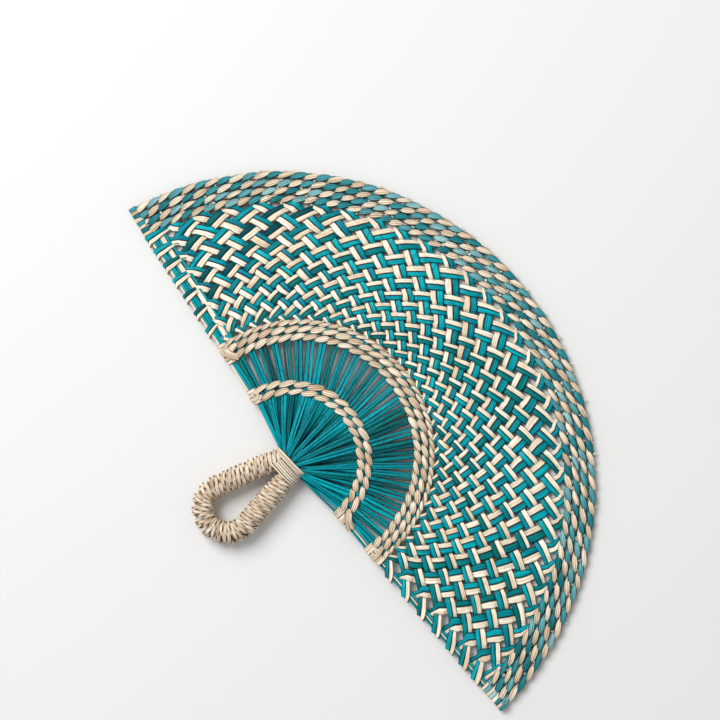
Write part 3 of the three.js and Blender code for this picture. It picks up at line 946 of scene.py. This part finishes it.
# Each row with its stitches, the offset of its first stitch, its strands and its kind of stitch
row_plan = [
    ("ring_row_1", RING_STITCHES, 0.0, BAND_PAIR, BAND_STITCH),
    ("ring_row_2", RING_STITCHES, 0.5, BAND_PAIR, BAND_STITCH),
    ("mid_row_1", MID_STITCHES, 1.0, BAND_PAIR, BAND_STITCH),
    ("mid_row_2", MID_STITCHES, 1.5, BAND_PAIR, BAND_STITCH),
    ("mid_row_outer", OUTER_STITCHES, 0.0, BAND_PAIR, OUTER_STITCH),
]
row_plan += [
    (f"border_row_{number}", BORDER_STITCHES, BORDER_OFFSET * number, BORDER_PAIR, BORDER_STITCH)
    for number in range(1, BORDER_ROWS + 1)
]

for node, stitches, offset, pair, style in row_plan:
    strands = Strands()
    row = rows[node]
    add_row(strands, row, stitches, offset, pair, **style)
    for side in (-1, 1):
        for turn, finish in enumerate(pair):
            place = row.at(side * half_spread) + (turn - 0.5) * row.half_width
            wide, reach = rng.uniform(*LOOP_HALF_WIDTH), rng.uniform(*LOOP_REACH)
            rise = LOOP_RISE + LOOP_RISE_STEP * turn
            add_edge_loop(strands, side, place, wide, reach, rise, finish, rng.uniform(*LOOP_SLIP))
    if node == "ring_row_2":
        add_tail(strands, row, side=1, inset=0.0, length=8.0, count=4)
        add_knot(strands, row, side=-1, inset=1.5, size=2.6)
    if node == "mid_row_2":
        add_knot(strands, row, side=1, inset=1.0, size=3.2)
        add_tail(strands, row, side=-1, inset=5.0, length=7.0, count=3)
    strands.piece(f"{node}_stitches", node)

# Edge stems

# Straws of each edge stem: distance outwards from its middle, finish, half width
LEFT_STRAWS = ((-1.35, "teal", 0.8), (0.1, "teal", 0.8), (1.45, "natural", 0.7))
RIGHT_STRAWS = ((-1.35, "teal", 0.8), (0.1, "natural", 0.5), (1.45, "teal", 0.75))
EDGE_HALF_THICK = 0.65
EDGE_RISE = (-0.2, 0.3)
EDGE_TINT = (0.4, 0.9)
EDGE_STATIONS = 30
ROOT_STATIONS = 7
EDGE_ROOT = 0.4
EDGE_SWAY = 0.2
EDGE_SWAY_RATE = 0.11
EDGE_SWAY_PHASE = 5
TIP_SHORT = 1.0

# Straws laid along the left edge stem, inside it
INNER_STRAWS = ((-3.0, "teal", 0.75), (-5.3, "natural", 1.6), (-7.7, "teal", 0.8))
INNER_HALF_THICK = 0.45
INNER_STATIONS = 24
INNER_OVERLAP = 3.0
INNER_SWAY = 0.3
INNER_SWAY_RATE = 0.09


def add_edge(strands, side, straws):
    """The straws of an edge stem. The teal ones start at the neck, the natural one at the ring."""
    angle, out, _ = edge_ways(side)
    root = stem_root(0.5 + 0.5 * side)
    ring = rows["ring_row_1"].at(angle)
    for shift, finish, half in straws:
        rise = rng.uniform(*EDGE_RISE)
        path = []
        if finish == "teal":
            near = blade(angle, ring, rise) + out * shift
            far = root + UP * rise + out * shift * EDGE_ROOT
            path = [far * (1 - part) + near * part for part in np.linspace(0, 1, ROOT_STATIONS)[:-1]]
        for radius in np.linspace(ring, rim_at(angle) - TIP_SHORT, EDGE_STATIONS):
            sway = EDGE_SWAY * math.sin(radius * EDGE_SWAY_RATE + shift * EDGE_SWAY_PHASE)
            path.append(blade(angle, radius, rise) + out * (shift + sway))
        strands.sweep(path, UP, half, EDGE_HALF_THICK, finish, rng.uniform(*EDGE_TINT))


def add_inner_straws(strands, side):
    """Straws laid along the inside of an edge stem, over the length of the weave."""
    angle, out, _ = edge_ways(side)
    start, end = field_start(angle) - INNER_OVERLAP, field_end(angle) + INNER_OVERLAP
    for shift, finish, half in INNER_STRAWS:
        path = []
        for radius in np.linspace(start, end, INNER_STATIONS):
            sway = INNER_SWAY * math.sin(radius * INNER_SWAY_RATE + shift)
            path.append(blade(angle, radius) + out * (shift + sway))
        strands.sweep(path, UP, half, INNER_HALF_THICK, finish, rng.uniform(*EDGE_TINT))


strands = Strands()
add_edge(strands, -1, LEFT_STRAWS)
add_inner_straws(strands, -1)
strands.piece("edge_stem_left_straws", "edge_stem_left")

strands = Strands()
add_edge(strands, 1, RIGHT_STRAWS)
strands.piece("edge_stem_right_straws", "edge_stem_right")

# Handle: a cord of two plies, each of two strands, wound round a bent loop

# The loop's legs: distance from its middle as a share of the tube, and how deep they sit in the neck
LEG_SHARE = 0.84
LEG_DEPTH = 5.0

# Share of the loop's length, to both sides of a point, from which its direction there is taken
LOOP_PROBE = 0.002

# The cord: how its turns lean, taper and climb at the legs, and how they vary
LEG_SLANT = 2.8
SLANT_SPAN = (0.3, 0.8)
LEG_TAPER = 16
LEG_THIN = 0.85
LEG_THICKEN = 0.15
LEG_CLIMB = 1.0
WRAP_STEPS = 40
WRAP_WOBBLE = 0.3
WRAP_SWELL = 0.25
WRAP_SLIP = 2.0
WRAP_TINT = (0.2, 1.0)
INNER_CROWDING = 0.55

# The plies: twists in a turn, depth below the tube's surface, and how far the strands swing
PLY_TWISTS = 3
PLY_PHASE = 1.3
PLY_DEPTH = 1.15
PLY_SWING = 0.55
PLY_STRAY = 0.2
PLY_ROLL = 0.55
STRAND_WIDTH = 0.19
STRAND_SWELL = 0.045
STRAND_HALF_THICK = 0.78
STRAND_GROOVE = 0.66

wrap_low, wrap_high = box_of("handle_wrap")
tube = (wrap_high[2] - wrap_low[2]) / 2
loop_radius = (wrap_high[0] - wrap_low[0]) / 2 - tube
loop_x = (wrap_low[0] + wrap_high[0]) / 2 - hub[0]
loop_y = wrap_low[1] - hub[1] + tube + loop_radius
leg_half = LEG_SHARE * tube
leg_y = neck_back + LEG_DEPTH


class Loop:
    """The bent loop's middle line: two straight legs that run into an arc."""

    def __init__(self):
        away = math.hypot(leg_half, leg_y - loop_y)
        self.open = math.atan2(leg_half, leg_y - loop_y) + math.acos(loop_radius / away)
        self.leg = math.sqrt(away ** 2 - loop_radius ** 2)
        self.total = 2 * self.leg + 2 * (math.pi - self.open) * loop_radius

    def at(self, part):
        run = part * self.total
        near = min(run, self.total - run)
        turn = self.open + max(0.0, near - self.leg) / loop_radius
        short = max(0.0, self.leg - near)
        x = -loop_radius * math.sin(turn) + short * math.cos(turn)
        y = loop_radius * math.cos(turn) + short * math.sin(turn)
        sign = 1 if run <= self.total / 2 else -1
        return np.array([loop_x + sign * x, loop_y + y, hub_z])

    def along(self, part):
        before, after = max(0.0, part - LOOP_PROBE), min(1.0, part + LOOP_PROBE)
        return unit(self.at(after) - self.at(before))

    def bend(self, part):
        return 1.0 / loop_radius if self.leg < part * self.total < self.total - self.leg else 0.0


loop = Loop()


def add_wrap(strands):
    """The cord's turns, which crowd together inside the loop's bend."""
    count = WRAP_TURNS * WRAP_STEPS
    pitch = loop.total / WRAP_TURNS
    laps = np.arange(WRAP_TURNS + SPARE_TURNS)
    wobble = rng.uniform(-WRAP_WOBBLE, WRAP_WOBBLE, len(laps))
    swell = rng.uniform(-WRAP_SWELL, WRAP_SWELL, len(laps))
    slip = rng.uniform(-WRAP_SLIP, WRAP_SLIP, len(laps))
    for ply, strand in ((-1, 0), (-1, 1), (1, 0), (1, 1)):
        path, up, tint, wide = [], [], [], []
        tone = rng.uniform(*WRAP_TINT, WRAP_TURNS * PLY_TWISTS + SPARE_TURNS)
        for i in range(count + 1):
            part, lap = i / count, i / WRAP_STEPS
            turn = 2 * math.pi * i / WRAP_STEPS
            late = np.interp(lap, laps, slip)
            twist = turn * PLY_TWISTS + strand * math.pi + PLY_PHASE * ply + late * ply
            along = loop.along(part)
            out = math.cos(turn) * np.cross(UP, along) + math.sin(turn) * UP
            room = 1 - INNER_CROWDING * loop.bend(part) * tube * max(0.0, math.cos(turn))
            slant = LEG_SLANT * smooth(*SLANT_SPAN, part) * math.cos(turn)
            stray = np.interp(lap, laps, wobble) * math.cos(turn + ply)
            place = ply * pitch / 4 + PLY_STRAY * pitch / 2 * math.cos(twist) + stray
            end = min(1.0, min(part, 1 - part) * loop.total / LEG_TAPER)
            middle = tube * (LEG_THIN + LEG_THICKEN * end) - PLY_DEPTH + np.interp(lap, laps, swell)
            radius = middle + PLY_SWING * math.sin(twist)
            climb = (LEG_CLIMB if part < 0.5 else -LEG_CLIMB) * (1 - end)
            path.append(loop.at(part) + out * radius + along * (place * room - slant) + UP * climb)
            up.append(out + PLY_ROLL * along * math.cos(twist))
            tint.append(tone[int((twist / (2 * math.pi) + TINT_PHASE) % len(tone))])
            wide.append(pitch * room * (STRAND_WIDTH + STRAND_SWELL * math.sin(twist)))
        strands.sweep(path, up, wide, STRAND_HALF_THICK, "cord", tint, ribbed_profile(STRAND_GROOVE))


strands = Strands()
add_wrap(strands)
strands.piece("handle_wrap_cord", "handle_wrap")

# Neck: a flat strand wound from the stems to the legs of the loop

# The neck's outline: how square it is, and how it widens and thickens to the legs
NECK_SQUARE = 0.8
NECK_FLARE = 1.3
NECK_INSET = 1.0
NECK_FRONT_INSET = 0.7
NECK_THICK = 0.72
NECK_THICKEN = 0.18
NECK_SLOPE = 0.1

# The strand's turns, and how they vary
NECK_STEPS = 44
NECK_TINT = (0.3, 1.0)
NECK_TILT = 1.2
NECK_TILT_PHASE = 1.0
NECK_GIRTH = (0.75, 1.25)
NECK_RISE = (-0.2, 0.45)
NECK_FACING = 0.5
NECK_STRAND_WIDTH = 0.47
NECK_STRAND_THICK = 1.0
NECK_GROOVE = 0.9


def squared(value):
    return math.copysign(abs(value) ** NECK_SQUARE, value)


def neck_outline(part, turn):
    """A point of the neck, which widens from the stems to the two legs of the loop."""
    half = neck_front_half + (neck_half - NECK_INSET - neck_front_half) * part ** NECK_FLARE
    high = neck_high_half * (NECK_THICK + NECK_THICKEN * part)
    y = neck_front - NECK_FRONT_INSET + (neck_back - neck_front) * part
    slope = NECK_SLOPE * half * math.cos(turn)
    x, z = neck_x + half * squared(math.cos(turn)), hub_z + high * squared(math.sin(turn))
    return np.array([x, y + slope, z])


def add_neck(strands):
    """The flat strand's turns round the neck."""
    pitch = (neck_front - neck_back) / NECK_TURNS
    laps = np.arange(NECK_TURNS + SPARE_TURNS)
    path, up, tint, wide = [], [], [], []
    tone = rng.uniform(*NECK_TINT, NECK_TURNS * 2 + SPARE_TURNS)
    tilt = rng.uniform(-NECK_TILT, NECK_TILT, len(laps))
    girth = rng.uniform(*NECK_GIRTH, len(laps))
    rise = rng.uniform(*NECK_RISE, len(laps))
    for i in range(NECK_TURNS * NECK_STEPS + 1):
        part, lap = i / (NECK_TURNS * NECK_STEPS), i / NECK_STEPS
        turn = 2 * math.pi * i / NECK_STEPS
        lean = np.interp(lap, laps, tilt) * math.cos(turn + NECK_TILT_PHASE)
        facing = np.array([math.cos(turn) * NECK_FACING, 0, math.sin(turn)])
        high = facing * np.interp(lap, laps, rise)
        path.append(neck_outline(part, turn) + np.array([0.0, lean, 0.0]) + high)
        up.append(facing)
        tint.append(tone[2 * i // NECK_STEPS])
        wide.append(pitch * NECK_STRAND_WIDTH * np.interp(lap, laps, girth))
    strands.sweep(path, up, wide, NECK_STRAND_THICK, "cord", tint, straw_profile(NECK_GROOVE, 0.0))


strands = Strands()
add_neck(strands)
strands.piece("neck_binding_strands", "neck_binding")

# Core: the bent loop inside the cord and the plug inside the neck

# How deep the core lies under the cord, and the plug under the neck's strand at its two ends
CORE_DEPTH = 2.0
CORE_STATIONS = 60
CORE_TINT = 0.3
PLUG_STATIONS = 6
PLUG_FRONT = 1.2
PLUG_BACK = 1.5
PLUG_FRONT_DEPTH = 0.8
PLUG_BACK_DEPTH = 2.4
PLUG_THICK = 0.68


def add_core(strands):
    path = [loop.at(part) for part in np.linspace(0, 1, CORE_STATIONS)]
    half = tube - CORE_DEPTH
    strands.sweep(path, UP, half, half, "core", CORE_TINT, round_profile())


def add_plug(strands):
    places = np.linspace(neck_front - PLUG_FRONT, neck_back + PLUG_BACK, PLUG_STATIONS)
    path = [np.array([neck_x, y, hub_z]) for y in places]
    half = np.linspace(neck_front_half - PLUG_FRONT_DEPTH, neck_half - PLUG_BACK_DEPTH, PLUG_STATIONS)
    strands.sweep(path, UP, half, PLUG_THICK * neck_high_half, "core", CORE_TINT, round_profile())


strands = Strands()
add_core(strands)
add_plug(strands)
strands.piece("handle_core_bundle", "handle_core")

# Camera, floor and light, in metres. The key light comes from the upper left of the photo.

FLOOR_HALF = 6.0
FLOOR_DROP = 0.0004
FLOOR_COLOUR = (0.81, 0.81, 0.80, 1)
FLOOR_ROUGHNESS = 0.9
KEY_WAY = (-0.99, -0.15)
KEY_AWAY = 1.5
KEY_HEIGHT = 1.8
KEY_SIZE = 1.5
KEY_POWER = 52
WORLD_COLOUR = (1, 1, 1, 1)
WORLD_STRENGTH = 0.44

view_x = (hub[0] + VIEW_OFFSET[0]) * MM
view_y = (hub[1] + VIEW_OFFSET[1]) * MM
view_distance = VIEW_WIDTH * MM * LENS / SENSOR


def put(obj, at, right, back):
    """Places a camera or lamp at a point, with its right side and its back facing the given ways."""
    axes = np.column_stack([right, np.cross(back, right), back, at])
    obj.matrix_world = Matrix([*axes.tolist(), [0, 0, 0, 1]])


camera_data = bpy.data.cameras.new("photo_camera")
camera_data.lens = LENS
camera_data.sensor_width = SENSOR
camera = add_object("photo_camera", camera_data)
put(camera, (view_x, view_y, view_distance), sideways(PHOTO_TURN), UP)
bpy.context.scene.camera = camera

paper = bpy.data.materials.new("floor_paper")
paper.use_nodes = True
paper.node_tree.nodes["Principled BSDF"].inputs["Base Color"].default_value = FLOOR_COLOUR
paper.node_tree.nodes["Principled BSDF"].inputs["Roughness"].default_value = FLOOR_ROUGHNESS
floor_mesh = bpy.data.meshes.new("floor")
floor_corners = [(x * FLOOR_HALF, y * FLOOR_HALF, 0) for x, y in ((-1, -1), (1, -1), (1, 1), (-1, 1))]
floor_mesh.from_pydata(floor_corners, [], [(0, 1, 2, 3)])
floor_mesh.materials.append(paper)
floor = add_object("floor", floor_mesh)
floor.location.z = -FLOOR_DROP

key_data = bpy.data.lights.new("key", "AREA")
key_data.shape = "DISK"
key_data.size = KEY_SIZE
key_data.energy = KEY_POWER
key = add_object("key", key_data)
key_at = np.array([view_x + KEY_AWAY * KEY_WAY[0], view_y + KEY_AWAY * KEY_WAY[1], KEY_HEIGHT])
key_back = unit(key_at - np.array([view_x, view_y, 0.0]))
put(key, key_at, unit(np.cross(UP, key_back)), key_back)

world = bpy.data.worlds.new("studio")
world.use_nodes = True
world.node_tree.nodes["Background"].inputs["Color"].default_value = WORLD_COLOUR
world.node_tree.nodes["Background"].inputs["Strength"].default_value = WORLD_STRENGTH
bpy.context.scene.world = world
bpy.context.scene.view_settings.view_transform = "Standard"
